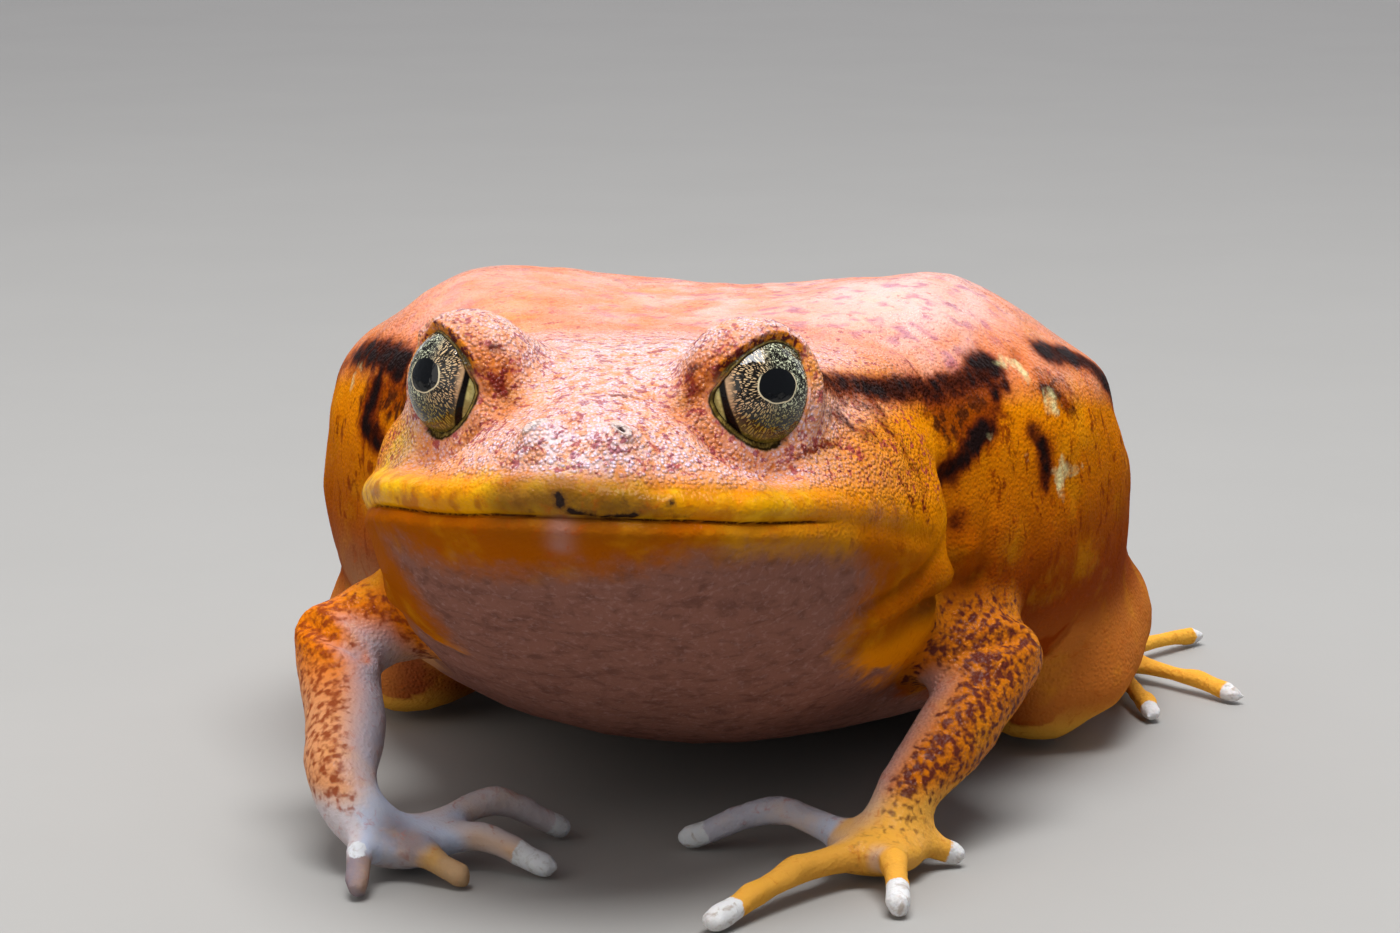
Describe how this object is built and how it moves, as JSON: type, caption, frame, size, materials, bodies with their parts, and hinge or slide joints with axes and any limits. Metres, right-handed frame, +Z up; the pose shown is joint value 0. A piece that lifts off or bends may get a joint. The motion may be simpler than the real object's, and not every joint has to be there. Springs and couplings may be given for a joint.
{
  "type": "tomato frog",
  "caption": "Life-size sitting tomato frog: broad flat head, wide closed mouth, lidded eyes, plump body, short limbs spread on the floor.",
  "frame": {"origin": "centre of the footprint's bounding box, on the floor", "axes": "-Y is the way the animal faces, +X its left side, +Z up"},
  "size_m": [0.0738, 0.0922, 0.0379],
  "materials": {
    "head_skin": "moist granular skin, semi-gloss",
    "throat_skin": "smooth damp belly skin",
    "back_skin": "moist granular skin, semi-gloss",
    "limb_skin": "moist skin, semi-gloss",
    "digit_skin": "smooth damp skin",
    "eye": "wet gloss"
  },
  "bodies": {
    "root": {"head": "head_skin", "lower_jaw": "throat_skin", "torso": "back_skin", "eye_left": "eye", "eye_right": "eye", "upper_arm_left": "limb_skin", "upper_arm_right": "limb_skin", "forearm_left": "limb_skin", "forearm_right": "limb_skin", "hand_left": "digit_skin", "hand_right": "digit_skin", "finger_left_1": "digit_skin", "finger_left_2": "digit_skin", "finger_left_3": "digit_skin", "finger_left_4": "digit_skin", "finger_right_1": "digit_skin", "finger_right_2": "digit_skin", "finger_right_3": "digit_skin", "finger_right_4": "digit_skin", "thigh_left": "limb_skin", "thigh_right": "limb_skin", "shank_left": "limb_skin", "shank_right": "limb_skin", "foot_left": "digit_skin", "foot_right": "digit_skin", "toe_left_1": "digit_skin", "toe_left_2": "digit_skin", "toe_left_3": "digit_skin", "toe_left_4": "digit_skin", "toe_left_5": "digit_skin", "toe_right_1": "digit_skin", "toe_right_2": "digit_skin", "toe_right_3": "digit_skin", "toe_right_4": "digit_skin", "toe_right_5": "digit_skin"}
  },
  "joints": []
}
